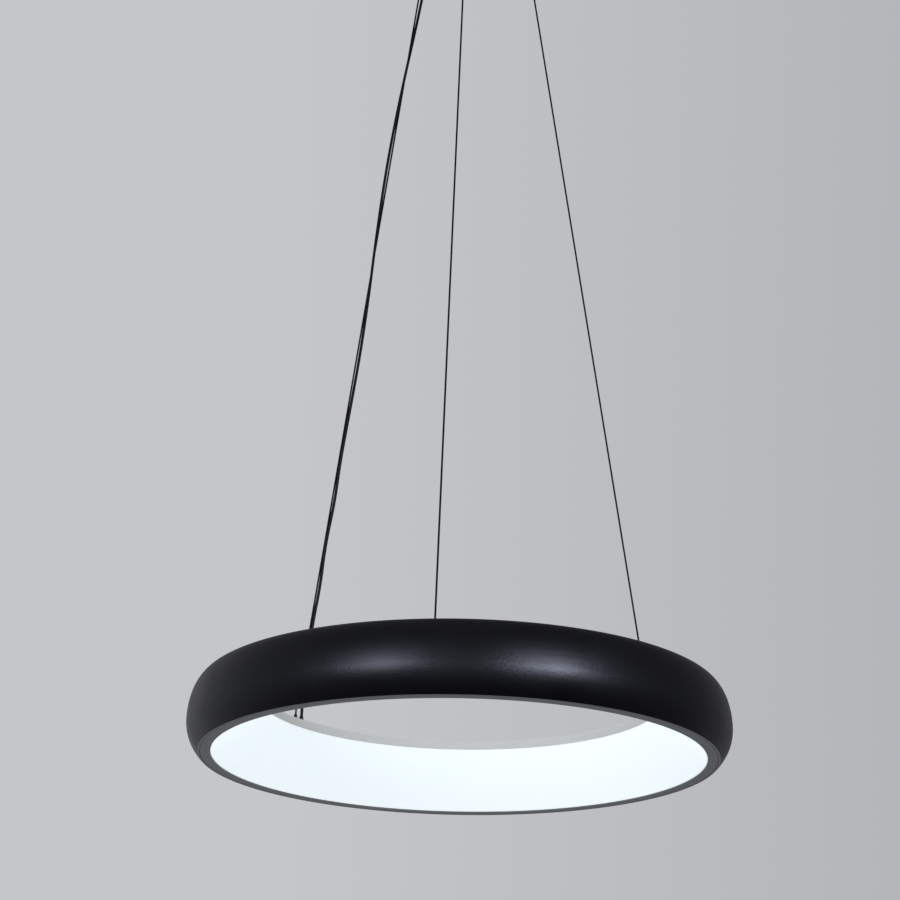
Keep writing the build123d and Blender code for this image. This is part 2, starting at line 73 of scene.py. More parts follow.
def linear(hex_colour):
    """sRGB hex colour to the linear values that the shaders take."""
    values = [int(hex_colour[i : i + 2], 16) / 255 for i in (0, 2, 4)]
    return [v / 12.92 if v <= 0.04045 else ((v + 0.055) / 1.055) ** 2.4 for v in values] + [1.0]


def add_node(tree, kind, settings=None, links=None):
    """Adds a node; settings are its properties or sockets, links say which outputs its sockets read.

    Sockets that share a name go by number: a Mix takes its colours at 6 and 7 and gives one at 2.
    """
    made = tree.nodes.new(kind)
    for name, value in (settings or {}).items():
        if isinstance(name, str) and hasattr(made, name):
            setattr(made, name, value)
        else:
            made.inputs[name].default_value = value
    for name, source in (links or {}).items():
        tree.links.new(source, made.inputs[name])
    return made


# Studio: a grey wall, paler on the left, stands behind the lamp, and the room in front, the floor
# and the ceiling are dim, so the black coat stays black and only its edges pick up the wall.
world = bpy.data.worlds.new("studio")
bpy.context.scene.world = world
world.use_nodes = True
air = world.node_tree
air.nodes.clear()
way = add_node(air, "ShaderNodeTexCoord")
parts = add_node(air, "ShaderNodeSeparateXYZ", links={0: way.outputs["Object"]})
across = add_node(
    air,
    "ShaderNodeMapRange",
    {"From Min": -0.08, "From Max": 0.2},
    {"Value": parts.outputs["X"]},
)
wall = add_node(
    air,
    "ShaderNodeMix",
    {"data_type": "RGBA", 6: linear("C5C6CA"), 7: linear("B4B5B9")},
    {0: across.outputs[0]},
)
# What the coat mirrors: full towards the wall, fading to the front, the right, the floor, the ceiling.
fades = []
for axis, start, end, at_start, at_end in (
    ("Y", -0.6, 0.95, 0.12, 0.8),
    ("X", -0.9, 0.9, 1.08, 0.5),
    ("Z", -0.9, -0.1, 0.1, 1.0),
    ("Z", 0.2, 0.7, 1.0, 0.55),
):
    fade = add_node(
        air,
        "ShaderNodeMapRange",
        {"From Min": start, "From Max": end, "To Min": at_start, "To Max": at_end},
        {"Value": parts.outputs[axis]},
    )
    fades.append(fade)
dim = fades[0]
for fade in fades[1:]:
    dim = add_node(
        air,
        "ShaderNodeMath",
        {"operation": "MULTIPLY"},
        {0: dim.outputs[0], 1: fade.outputs[0]},
    )
seen = add_node(air, "ShaderNodeBackground", links={"Color": wall.outputs[2]})
mirrored = add_node(
    air,
    "ShaderNodeBackground",
    links={"Color": wall.outputs[2], "Strength": dim.outputs[0]},
)
fill = add_node(air, "ShaderNodeBackground", {"Color": linear("E6E8EC"), "Strength": 0.55})
path = add_node(air, "ShaderNodeLightPath")
in_gloss = add_node(
    air,
    "ShaderNodeMixShader",
    links={0: path.outputs["Is Glossy Ray"], 1: fill.outputs[0], 2: mirrored.outputs[0]},
)
direct = add_node(
    air,
    "ShaderNodeMath",
    {"operation": "MAXIMUM"},
    {0: path.outputs["Is Camera Ray"], 1: path.outputs["Is Transmission Ray"]},
)
in_view = add_node(
    air,
    "ShaderNodeMixShader",
    links={0: direct.outputs[0], 1: in_gloss.outputs[0], 2: seen.outputs[0]},
)
add_node(air, "ShaderNodeOutputWorld", links={"Surface": in_view.outputs[0]})

# Studio lamps: two cool soft boxes stand in front, left and right, a little above the ring, and give
# the two streaks on the coat. A large pale one overhead and the left box light what is matt.
for name, stand, size, power, tint, on_gloss, on_matt in (
    ("soft_box_left", (-1.51, -2.61, -0.87), 0.94, 32, "F6F7FF", True, True),
    ("soft_box_right", (1.69, -2.48, -0.87), 0.88, 53, "F6F7FF", True, False),
    ("soft_box_top", (0.2, -0.4, 1.65), 2.6, 40, "F8F9FF", False, True),
):
    lamp = bpy.data.objects.new(name, bpy.data.lights.new(name, "AREA"))
    lamp.data.shape = "DISK"
    lamp.data.size = size
    lamp.data.energy = power
    lamp.data.color = linear(tint)[:3]
    lamp.location = stand
    lamp.rotation_euler = (Vector((0, 0, LIP_Z)) - Vector(stand)).to_track_quat("-Z", "Y").to_euler()
    lamp.visible_camera = False
    lamp.visible_glossy = on_gloss
    lamp.visible_diffuse = on_matt
    bpy.context.scene.collection.objects.link(lamp)

# Floor: plain pale sheet, far enough down that the lamp can be seen from below. To the camera it
# is partly as pale as the wall, and the rest of its paint takes the light and the shadows.
FLOOR_SPAN = 30
FLOOR_Z = -4.6
PALE_SHARE = 0.7
bpy.ops.object.select_all(action="DESELECT")
bpy.ops.mesh.primitive_plane_add(size=FLOOR_SPAN, location=(0, 0, FLOOR_Z))
floor = bpy.context.object
floor.name = "floor"
floor_paint = bpy.data.materials.new("pale floor")
floor_paint.use_nodes = True
boards = floor_paint.node_tree
paint = boards.nodes["Principled BSDF"]
paint.inputs["Base Color"].default_value = linear("DADBDD")
paint.inputs["Roughness"].default_value = 0.9
glow = add_node(boards, "ShaderNodeEmission", {"Color": linear("C2C3C7")})
to_eye = add_node(boards, "ShaderNodeLightPath")
pale = add_node(
    boards,
    "ShaderNodeMath",
    {"operation": "MULTIPLY", 1: PALE_SHARE},
    {0: to_eye.outputs["Is Camera Ray"]},
)
mixed = add_node(
    boards,
    "ShaderNodeMixShader",
    links={0: pale.outputs[0], 1: paint.outputs[0], 2: glow.outputs[0]},
)
boards.links.new(mixed.outputs[0], boards.nodes["Material Output"].inputs["Surface"])
floor.data.materials.append(floor_paint)
floor.visible_glossy = False


def tube(name, route, diameter, corners):
    """Mesh tube round the smooth line that the route's points control, and that line's own points."""
    line = bpy.data.curves.new(name, "CURVE")
    line.dimensions = "3D"
    line.resolution_u = 16
    spline = line.splines.new("NURBS")
    spline.points.add(len(route) - 1)
    for point, place in zip(spline.points, route):
        point.co = (*place, 1)
    spline.order_u = 3
    spline.use_endpoint_u = True
    holder = bpy.data.objects.new(name, line)
    bpy.context.scene.collection.objects.link(holder)
    bpy.context.view_layer.update()
    thread = bpy.data.meshes.new_from_object(holder)
    points = [v.co.copy() for v in thread.vertices]
    bpy.data.meshes.remove(thread)
    line.bevel_depth = diameter / 2
    line.bevel_resolution = corners
    line.use_fill_caps = True
    bpy.ops.object.select_all(action="DESELECT")
    holder.select_set(True)
    bpy.context.view_layer.objects.active = holder
    bpy.ops.object.convert(target="MESH")
    bpy.ops.object.shade_smooth_by_angle(angle=math.radians(50))
    return bpy.context.object, points


def start_finish(name, colour, roughness, metallic=0.0):
    """New material with its plain values set; gives the material, its nodes, its shader and its place."""
    finish = bpy.data.materials.new(name)
    finish.use_nodes = True
    tree = finish.node_tree
    shader = tree.nodes["Principled BSDF"]
    shader.inputs["Base Color"].default_value = linear(colour)
    shader.inputs["Roughness"].default_value = roughness
    shader.inputs["Metallic"].default_value = metallic
    return finish, tree, shader, add_node(tree, "ShaderNodeTexCoord").outputs["Object"]


# Suspension wires: 2.1 mm steel rope in a black nylon coat, upright in the gripper above and in
# the anchor below, pulled straight between them by the ring's weight. To raise the ring they are fed
# up through the grippers, so that less of them shows.
RING_TOP = -1.145
FLAT_TOP = RING_TOP - 0.0022
CANOPY_LOW = -0.045
ANCHOR_R = 0.2385
GRIP_R = 0.06
ANCHOR_TIP = FLAT_TOP + 0.007
GRIP_TIP = CANOPY_LOW - 0.025
WIRE_D = 0.0021
WIRE_FOOT = FLAT_TOP - 0.001
WIRE_HEAD = CANOPY_LOW + 0.0155
WIRE_UPRIGHT = 0.005
WIRE_BEND = 0.011
FIRST_WIRE = 143.6
WIRE_TURNS = [math.radians(FIRST_WIRE + 120 * i) for i in range(3)]
STRAND_PITCH = 0.002
# Thin nylon over twisted strands: a dull black thread with slanting ridges, one for each strand.
wire_coat, tree, shader, place = start_finish("nylon coated steel rope", "0A0A0B", 0.42)
shader.inputs["Specular IOR Level"].default_value = 0.2
strands = add_node(
    tree,
    "ShaderNodeTexWave",
    {"bands_direction": "DIAGONAL", "Scale": 2 * math.pi / (10 * STRAND_PITCH), "Distortion": 0.4},
    {"Vector": place},
)
ridges = add_node(
    tree,
    "ShaderNodeBump",
    {"Strength": 0.35, "Distance": 0.00008},
    {"Height": strands.outputs["Fac"]},
)
tree.links.new(ridges.outputs["Normal"], shader.inputs["Normal"])
wear = add_node(
    tree,
    "ShaderNodeMapRange",
    {"To Min": 0.42, "To Max": 0.54},
    {"Value": strands.outputs["Fac"]},
)
tree.links.new(wear.outputs[0], shader.inputs["Roughness"])
for i, turn in enumerate(WIRE_TURNS):
    side = Vector((math.cos(turn), math.sin(turn), 0))
    low = side * ANCHOR_R + Vector((0, 0, ANCHOR_TIP + WIRE_UPRIGHT))
    high = side * GRIP_R + Vector((0, 0, GRIP_TIP - WIRE_UPRIGHT))
    along = (high - low).normalized()
    route = [
        side * ANCHOR_R + Vector((0, 0, WIRE_FOOT)),
        low,
        low + along * WIRE_BEND,
        high - along * WIRE_BEND,
        high,
        side * GRIP_R + Vector((0, 0, WIRE_HEAD)),
    ]
    wire, line = tube(f"wire_{i + 1}", route, WIRE_D, 3)
    wire.data.materials.append(wire_coat)
    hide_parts(f"suspension_wire_{i + 1}")
    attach(wire, "ring")
    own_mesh(wire)

# Power cord: 3.4 mm round cord in a black PVC sheath, led loosely up the first wire from the ring's
# gland to the canopy's, a little longer than the straight way.
CORD_D = 0.0034
CORD_FOOT = LIP_Z + 0.0571
CORD_HEAD = -0.026
RING_GLAND_GAP = 0.0102
CANOPY_GLAND_GAP = 0.016
RING_GLAND_TURN = WIRE_TURNS[0] - RING_GLAND_GAP / ANCHOR_R
CANOPY_GLAND_TURN = WIRE_TURNS[0] - CANOPY_GLAND_GAP / GRIP_R
ring_gland = Vector((math.cos(RING_GLAND_TURN), math.sin(RING_GLAND_TURN), 0)) * ANCHOR_R
canopy_gland = Vector((math.cos(CANOPY_GLAND_TURN), math.sin(CANOPY_GLAND_TURN), 0)) * GRIP_R
first_side = Vector((math.cos(WIRE_TURNS[0]), math.sin(WIRE_TURNS[0]), 0))
straight_low = ANCHOR_TIP + WIRE_UPRIGHT - RING_TOP
straight_high = GRIP_TIP - WIRE_UPRIGHT - RING_TOP
cord_route = [ring_gland + Vector((0, 0, CORD_FOOT)), ring_gland + Vector((0, 0, RING_TOP + 0.032))]
# Heights above the ring's top, with how far the cord lies to the right of the wire and behind it.
for height, right, back in (
    (0.075, 0.0036, 0.0022),
    (0.112, 0.0024, -0.0022),
    (0.160, 0.0037, -0.0014),
    (0.207, 0.0014, -0.0026),
    (0.262, 0.0037, -0.0014),
    (0.310, 0.0020, -0.0024),
    (0.372, 0.0030, -0.0020),
    (0.445, 0.0035, 0.0006),
    (0.518, 0.0017, 0.0031),
    (0.591, -0.0016, 0.0032),
    (0.665, -0.0035, 0.0006),
    (0.738, -0.0030, -0.0022),
    (0.811, -0.0002, -0.0037),
    (0.882, 0.0033, -0.0022),
    (0.950, 0.0050, 0.0020),
):
    share = (height - straight_low) / (straight_high - straight_low)
    on_wire = first_side * (ANCHOR_R + (GRIP_R - ANCHOR_R) * share)
    cord_route.append(on_wire + Vector((right, back, RING_TOP + height)))
cord_route.append(canopy_gland + Vector((0, 0, CANOPY_LOW - 0.060)))
cord_route.append(canopy_gland + Vector((0, 0, CORD_HEAD)))
cord, line = tube("cord", cord_route, CORD_D, 5)
# Extruded PVC: even black with a soft shine and a faint orange-peel skin about 0.8 mm across.
cord_sheath, tree, shader, place = start_finish("extruded PVC sheath", "0A0A0B", 0.48)
shader.inputs["Specular IOR Level"].default_value = 0.2
peel = add_node(tree, "ShaderNodeTexNoise", {"Scale": 1 / 0.0008, "Detail": 2.0}, {"Vector": place})
skin = add_node(
    tree,
    "ShaderNodeBump",
    {"Strength": 0.5, "Distance": 0.00005},
    {"Height": peel.outputs["Fac"]},
)
tree.links.new(skin.outputs["Normal"], shader.inputs["Normal"])
shine = add_node(
    tree,
    "ShaderNodeMapRange",
    {"To Min": 0.42, "To Max": 0.58},
    {"Value": peel.outputs["Fac"]},
)
tree.links.new(shine.outputs[0], shader.inputs["Roughness"])
cord.data.materials.append(cord_sheath)
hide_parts("power_cord")
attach(cord, "ring")
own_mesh(cord)


def dress(finish, *names):
    """Gives a finish to CAD pieces whose shape stays as it is."""
    for name in names:
        for slot in cad[name].material_slots:
            slot.material = finish


# Ceiling plate: pressed steel disc with two turned-down tabs, galvanised, held to the ceiling by
# two screws through its slots. Everything in the canopy hangs from it.
# Galvanised sheet: pale grey metal in a patchwork of zinc crystals about 7 mm across.
galvanised, tree, shader, place = start_finish("galvanised sheet steel", "A9ACB0", 0.42, 0.75)
spangle = add_node(tree, "ShaderNodeTexVoronoi", {"Scale": 1 / 0.007}, {"Vector": place})
facet = add_node(tree, "ShaderNodeSeparateColor", links={0: spangle.outputs["Color"]})
tone = add_node(
    tree,
    "ShaderNodeMix",
    {"data_type": "RGBA", 6: linear("9EA1A6"), 7: linear("B7BABD")},
    {0: facet.outputs[0]},
)
tree.links.new(tone.outputs[2], shader.inputs["Base Color"])
shine = add_node(
    tree,
    "ShaderNodeMapRange",
    {"To Min": 0.32, "To Max": 0.5},
    {"Value": facet.outputs[1]},
)
tree.links.new(shine.outputs[0], shader.inputs["Roughness"])
dress(galvanised, "ceiling_plate")

# Cable bush: split ring of natural nylon, pressed into the plate's middle hole to guard the cable.
# Moulded nylon: milky off-white with a waxy shine and a fine mould grain, 0.6 mm.
natural_nylon, tree, shader, place = start_finish("moulded natural nylon", "D9D6CC", 0.45)
grain = add_node(tree, "ShaderNodeTexNoise", {"Scale": 1 / 0.0006, "Detail": 2.0}, {"Vector": place})
skin = add_node(
    tree,
    "ShaderNodeBump",
    {"Strength": 0.3, "Distance": 0.00004},
    {"Height": grain.outputs["Fac"]},
)
tree.links.new(skin.outputs["Normal"], shader.inputs["Normal"])
waxy = add_node(
    tree,
    "ShaderNodeMapRange",
    {"To Min": 0.38, "To Max": 0.54},
    {"Value": grain.outputs["Fac"]},
)
tree.links.new(waxy.outputs[0], shader.inputs["Roughness"])
dress(natural_nylon, "cable_bush")

# LED driver and mains terminal: a closed white case and a three-way block with screw clamps, both
# screwed to the plate from above. The mains cable ends in the block.
# Moulded ABS with a spark-eroded face: matt white, with a grain of about 0.8 mm.
white_abs, tree, shader, place = start_finish("spark-eroded white ABS", "DBDBD6", 0.55)
grain = add_node(tree, "ShaderNodeTexNoise", {"Scale": 1 / 0.0008, "Detail": 3.0}, {"Vector": place})
skin = add_node(
    tree,
    "ShaderNodeBump",
    {"Strength": 0.5, "Distance": 0.00006},
    {"Height": grain.outputs["Fac"]},
)
tree.links.new(skin.outputs["Normal"], shader.inputs["Normal"])
matt = add_node(
    tree,
    "ShaderNodeMapRange",
    {"To Min": 0.48, "To Max": 0.64},
    {"Value": grain.outputs["Fac"]},
)
tree.links.new(matt.outputs[0], shader.inputs["Roughness"])
dress(white_abs, "led_driver")
# Moulded polyamide: ivory, glossier than the case, with slow flow marks.
polyamide, tree, shader, place = start_finish("moulded polyamide", "D8D4C6", 0.38)
flow = add_node(tree, "ShaderNodeTexNoise", {"Scale": 1 / 0.006, "Detail": 1.0}, {"Vector": place})
tone = add_node(
    tree,
    "ShaderNodeMix",
    {"data_type": "RGBA", 6: linear("D3CEBE"), 7: linear("DDDACE")},
    {0: flow.outputs["Fac"]},
)
tree.links.new(tone.outputs[2], shader.inputs["Base Color"])
dress(polyamide, "mains_terminal")
# Bright zinc: pale grey metal with faint blue and straw clouds from the passivating dip.
bright_zinc, tree, shader, place = start_finish("zinc plated steel", "B8BBC0", 0.34, 1.0)
dip = add_node(tree, "ShaderNodeTexNoise", {"Scale": 1 / 0.004, "Detail": 2.0}, {"Vector": place})
tone = add_node(
    tree,
    "ShaderNodeMix",
    {"data_type": "RGBA", 6: linear("B3BAC6"), 7: linear("C2BEB0")},
    {0: dip.outputs["Fac"]},
)
tree.links.new(tone.outputs[2], shader.inputs["Base Color"])
shine = add_node(
    tree,
    "ShaderNodeMapRange",
    {"To Min": 0.26, "To Max": 0.44},
    {"Value": dip.outputs["Fac"]},
)
tree.links.new(shine.outputs[0], shader.inputs["Roughness"])
dress(bright_zinc, "driver_screws", "terminal_screw", "terminal_clamps")
# Turned brass: warm yellow and bright, a little browner in patches where it has tarnished.
brass, tree, shader, place = start_finish("turned brass", "C8A24E", 0.3, 1.0)
tarnish = add_node(tree, "ShaderNodeTexNoise", {"Scale": 1 / 0.003, "Detail": 2.0}, {"Vector": place})
tone = add_node(
    tree,
    "ShaderNodeMix",
    {"data_type": "RGBA", 6: linear("B98F3E"), 7: linear("D2AF5E")},
    {0: tarnish.outputs["Fac"]},
)
tree.links.new(tone.outputs[2], shader.inputs["Base Color"])
dress(brass, "earth_screw")


def spun(name, outline, steps):
    """Turns an outline of (radius, height) points in millimetres about the upright axis."""
    points = [Vector((radius / 1000, 0, up / 1000)) for radius, up in outline]
    back_to_start = [] if outline[0][0] == 0 else points[:1]
    bpy.ops.object.select_all(action="DESELECT")
    bpy.ops.mesh.primitive_plane_add(size=0.01, location=(0, 0, 0))
    piece = bpy.context.object
    piece.name = name
    bpy.ops.object.mode_set(mode="EDIT")
    bpy.ops.mesh.select_mode(type="VERT")
    bpy.ops.mesh.select_all(action="SELECT")
    bpy.ops.mesh.merge(type="CENTER")
    bpy.ops.transform.translate(value=points[0])
    for here, there in zip(points, points[1:] + back_to_start):
        bpy.ops.mesh.extrude_region_move(TRANSFORM_OT_translate={"value": there - here})
    bpy.ops.mesh.select_all(action="SELECT")
    bpy.ops.mesh.remove_doubles(threshold=1e-6)
    bpy.ops.mesh.spin(steps=steps, angle=2 * math.pi, center=(0, 0, 0), axis=(0, 0, 1))
    bpy.ops.mesh.select_all(action="SELECT")
    bpy.ops.mesh.remove_doubles(threshold=1e-6)
    bpy.ops.mesh.normals_make_consistent(inside=False)
    bpy.ops.mesh.select_all(action="DESELECT")
    bpy.ops.object.mode_set(mode="OBJECT")
    return piece


def soften(piece, edge_round):
    """Rounds a piece's sharp edges, in millimetres, and shades the rest smooth."""
    edges = piece.modifiers.new("edges", "BEVEL")
    edges.width = edge_round / 1000
    edges.segments = 2
    edges.limit_method = "ANGLE"
    edges.angle_limit = math.radians(25)
    bpy.ops.object.modifier_apply(modifier="edges")
    bpy.ops.object.shade_smooth_by_angle(angle=math.radians(40))
    even = piece.modifiers.new("even", "WEIGHTED_NORMAL")
    even.keep_sharp = True
    bpy.ops.object.modifier_apply(modifier="even")


# Canopy cover: shallow steel cup, spun and powder coated black, that hides the plate and the
# wiring. Two side screws hold it to the plate's tabs.
CANOPY_R = 90.0
CANOPY_T = 1.5
CANOPY_ROUND = 8.0
CANOPY_RIM = -0.5
CORNER_STEPS = 8
canopy_low = CANOPY_LOW * 1000
cup_line = [(0, canopy_low)]
for skin_t, direction in ((0.0, 1), (CANOPY_T, -1)):
    corner = []
    for k in range(CORNER_STEPS + 1):
        turn = math.radians(-90 + 90 * k / CORNER_STEPS)
        radius = CANOPY_R - CANOPY_ROUND + (CANOPY_ROUND - skin_t) * math.cos(turn)
        corner.append((radius, canopy_low + CANOPY_ROUND + (CANOPY_ROUND - skin_t) * math.sin(turn)))
    corner.append((CANOPY_R - skin_t, CANOPY_RIM))
    cup_line += corner[::direction]
cup_line.append((0, canopy_low + CANOPY_T))
cup = spun("canopy_cup", cup_line, 128)
soften(cup, 0.3)
# Fine textured powder coat: near black and satin, with a grain that sparkles in the lamps and a slow
# change of shine where the coat lies thicker. The grain is drawn at about 2 mm, so that it shows.
black_coat, tree, shader, place = start_finish("fine textured black powder coat", "0A0A0C", 0.39)
shader.inputs["Specular Tint"].default_value = linear("E7ECFF")
grain = add_node(
    tree,
    "ShaderNodeTexNoise",
    {"Scale": 1 / 0.0022, "Detail": 2.0, "Roughness": 0.7},
    {"Vector": place},
)
flow = add_node(tree, "ShaderNodeTexNoise", {"Scale": 1 / 0.06, "Detail": 1.0}, {"Vector": place})
bumps = add_node(
    tree,
    "ShaderNodeBump",
    {"Strength": 0.8, "Distance": 0.0002},
    {"Height": grain.outputs["Fac"]},
)
tree.links.new(bumps.outputs["Normal"], shader.inputs["Normal"])
both = add_node(
    tree,
    "ShaderNodeMath",
    {"operation": "ADD"},
    {0: grain.outputs["Fac"], 1: flow.outputs["Fac"]},
)
satin = add_node(
    tree,
    "ShaderNodeMapRange",
    {"From Min": 0.6, "From Max": 1.4, "To Min": 0.335, "To Max": 0.445},
    {"Value": both.outputs[0]},
)
tree.links.new(satin.outputs[0], shader.inputs["Roughness"])
cup.data.materials.append(black_coat)
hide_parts("canopy_cover")
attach(cup, "canopy")

# Canopy screws: two M4 button-head screws, black zinc plated, through the cover's skirt.
# Black zinc: a dense blue-black with a low shine, a little uneven from the plating bath.
black_zinc, tree, shader, place = start_finish("black zinc plated steel", "1D1D20", 0.38, 1.0)
bath = add_node(tree, "ShaderNodeTexNoise", {"Scale": 1 / 0.003, "Detail": 2.0}, {"Vector": place})
tone = add_node(
    tree,
    "ShaderNodeMix",
    {"data_type": "RGBA", 6: linear("17171A"), 7: linear("25252A")},
    {0: bath.outputs["Fac"]},
)
tree.links.new(tone.outputs[2], shader.inputs["Base Color"])
shine = add_node(
    tree,
    "ShaderNodeMapRange",
    {"To Min": 0.3, "To Max": 0.48},
    {"Value": bath.outputs["Fac"]},
)
tree.links.new(shine.outputs[0], shader.inputs["Roughness"])
dress(black_zinc, "canopy_screws")


def flute(piece, low, high, radius, steps, depth):
    """Sinks every second face of an upright band, so that the band gives a grip."""
    for face in piece.data.polygons:
        middle = face.center * 1000
        off_band = abs(math.hypot(middle.x, middle.y) - radius)
        on_band = low < middle.z < high and off_band < 0.1
        number = math.floor(math.atan2(middle.y, middle.x) / (2 * math.pi / steps))
        face.select = on_band and number % 2 == 0
    bpy.ops.object.mode_set(mode="EDIT")
    bpy.ops.mesh.select_mode(type="FACE")
    bpy.ops.mesh.inset(thickness=0.0001, depth=-depth / 1000, use_individual=True)
    bpy.ops.mesh.select_all(action="DESELECT")
    bpy.ops.object.mode_set(mode="OBJECT")


def set_down(pattern, name, spot):
    """Own copy of a pattern piece, set down at a spot, with its place in its mesh."""
    bpy.ops.object.select_all(action="DESELECT")
    pattern.select_set(True)
    bpy.context.view_layer.objects.active = pattern
    bpy.ops.object.duplicate(linked=False)
    copy = bpy.context.object
    copy.name = name
    bpy.ops.transform.translate(value=spot)
    bpy.ops.object.transform_apply(location=True, rotation=False, scale=False)
    return copy


# Wire grippers: three barrels turned from brass and blackened, fluted for the fingers, each with a
# flange under the canopy and a nut above. A spring inside keeps the wire clamped.
GRIP_STEPS = 36
barrel_line = [
    (1.2, -37.5),
    (4.0, -37.5),
    (4.0, -45.0),
    (6.5, -45.0),
    (6.5, -47.0),
    (5.0, -47.4),
    (5.0, -49.5),
    (5.0, -60.5),
    (5.0, -62.4),
    (4.4, -63.0),
    (3.2, -63.0),
    (3.2, -60.0),
    (3.9, -60.0),
    (3.9, -48.0),
    (1.2, -48.0),
]
barrel = spun("barrel_pattern", barrel_line, GRIP_STEPS)
flute(barrel, -60.5, -49.5, 5.0, GRIP_STEPS, 0.2)
soften(barrel, 0.12)
# Black oxide on turned brass: charcoal metal with tool rings about 0.35 mm apart, paler where the
# oxide is thin.
black_oxide, tree, shader, place = start_finish("black oxide on turned brass", "242426", 0.34, 1.0)
rings = add_node(
    tree,
    "ShaderNodeTexWave",
    {"bands_direction": "Z", "Scale": 2 * math.pi / (20 * 0.00035), "Distortion": 0.6},
    {"Vector": place},
)
thin = add_node(tree, "ShaderNodeTexNoise", {"Scale": 1 / 0.002, "Detail": 2.0}, {"Vector": place})
tone = add_node(
    tree,
    "ShaderNodeMix",
    {"data_type": "RGBA", 6: linear("1C1C1E"), 7: linear("302F2F")},
    {0: thin.outputs["Fac"]},
)
tree.links.new(tone.outputs[2], shader.inputs["Base Color"])
shine = add_node(
    tree,
    "ShaderNodeMapRange",
    {"To Min": 0.27, "To Max": 0.42},
    {"Value": rings.outputs["Fac"]},
)
tree.links.new(shine.outputs[0], shader.inputs["Roughness"])
barrel.data.materials.append(black_oxide)
grip_spots = [Vector((math.cos(turn), math.sin(turn), 0)) * GRIP_R for turn in WIRE_TURNS]
for i, spot in enumerate(grip_spots):
    body = set_down(barrel, f"grip_barrel_{i + 1}", spot)
    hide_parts(f"gripper_body_{i + 1}")
    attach(body, "canopy")
bpy.data.objects.remove(barrel)
dress(bright_zinc, "gripper_nuts")

# Gripper springs: three coils of 0.7 mm spring wire in the barrels, between each plunger's head and
# the chamber's roof. A press of the plunger squeezes its coil by 2.5 mm.
SPRING_WIRE = 0.0007
SPRING_R = 0.0029
SPRING_TURNS = 3.5
TURN_POINTS = 12
CHAMBER_ROOF = -0.048
SPRING_FOOT = -0.057
SPRING_SLACK = 0.00001
# Bright drawn spring steel: mid grey with fine drawing lines, about 0.4 mm apart.
spring_steel, tree, shader, place = start_finish("drawn spring steel", "97989B", 0.3, 1.0)
drawn = add_node(
    tree,
    "ShaderNodeTexWave",
    {"bands_direction": "Z", "Scale": 2 * math.pi / (20 * 0.0004), "Distortion": 3.0},
    {"Vector": place},
)
shine = add_node(
    tree,
    "ShaderNodeMapRange",
    {"To Min": 0.24, "To Max": 0.38},
    {"Value": drawn.outputs["Fac"]},
)
tree.links.new(shine.outputs[0], shader.inputs["Roughness"])
coil_low = SPRING_FOOT + SPRING_WIRE / 2 + SPRING_SLACK
coil_high = CHAMBER_ROOF - SPRING_WIRE / 2 - SPRING_SLACK
coil_points = round(SPRING_TURNS * TURN_POINTS)
for i, spot in enumerate(grip_spots):
    coil_route = []
    for k in range(coil_points + 1):
        turn = 2 * math.pi * k / TURN_POINTS
        height = coil_low + (coil_high - coil_low) * k / coil_points
        coil_route.append(spot + Vector((SPRING_R * math.cos(turn), SPRING_R * math.sin(turn), height)))
    coil = tube(f"grip_coil_{i + 1}", coil_route, SPRING_WIRE, 2)[0]
    coil.data.materials.append(spring_steel)
    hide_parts(f"gripper_spring_{i + 1}")
    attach(coil, "canopy")
    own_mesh(coil)

# Release plungers: three nickel plated sleeves that stand out below the barrels. Pushed up, each
# frees its wire so that the drop can be set.
plunger_line = [
    (1.3, -57.0),
    (3.7, -57.0),
    (3.7, -60.0),
    (3.0, -60.0),
    (3.0, -66.0),
    (4.0, -66.0),
    (4.0, -66.5),
    (4.0, -68.6),
    (4.0, -69.0),
    (3.0, -70.0),
    (1.8, -70.0),
    (1.3, -69.2),
]
plunger = spun("plunger_pattern", plunger_line, GRIP_STEPS)
flute(plunger, -68.6, -66.5, 4.0, GRIP_STEPS, 0.12)
soften(plunger, 0.1)
# Satin nickel: warm grey metal with a soft shine and tool rings about 0.3 mm apart.
nickel, tree, shader, place = start_finish("satin nickel plate", "B9B4AB", 0.3, 1.0)
rings = add_node(
    tree,
    "ShaderNodeTexWave",
    {"bands_direction": "Z", "Scale": 2 * math.pi / (20 * 0.0003), "Distortion": 0.5},
    {"Vector": place},
)
shine = add_node(
    tree,
    "ShaderNodeMapRange",
    {"To Min": 0.24, "To Max": 0.36},
    {"Value": rings.outputs["Fac"]},
)
tree.links.new(shine.outputs[0], shader.inputs["Roughness"])
plunger.data.materials.append(nickel)
for i, spot in enumerate(grip_spots):
    sleeve = set_down(plunger, f"plunger_sleeve_{i + 1}", spot)
    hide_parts(f"gripper_plunger_{i + 1}")
    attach(sleeve, f"release_{i + 1}")
bpy.data.objects.remove(plunger)

# Canopy cord gland: black nylon nozzle with ribs that let the cord bend gently where it enters the
# canopy, held by a nylon nut inside.
NOZZLE_BORE = 1.8
NOZZLE_RIBS = 6
NOZZLE_PITCH = 1.25
gland_line = [
    (NOZZLE_BORE, -37.5),
    (4.0, -37.5),
    (4.0, -45.0),
    (6.0, -45.0),
    (6.0, -47.0),
    (4.6, -47.6),
]
for k in range(NOZZLE_RIBS):
    rib_top = -48.4 - NOZZLE_PITCH * k
    rib_r = 4.6 - 1.4 * (-47.6 - rib_top) / 8.4
    gland_line += [
        (rib_r - 0.1, rib_top),
        (rib_r - 0.7, rib_top - 0.1),
        (rib_r - 0.75, rib_top - 0.5),
        (rib_r - 0.2, rib_top - 0.6),
    ]
gland_line += [(3.2, -56.0), (2.3, -56.0), (NOZZLE_BORE, -55.2)]
nozzle = spun("canopy_nozzle", gland_line, 40)
soften(nozzle, 0.08)
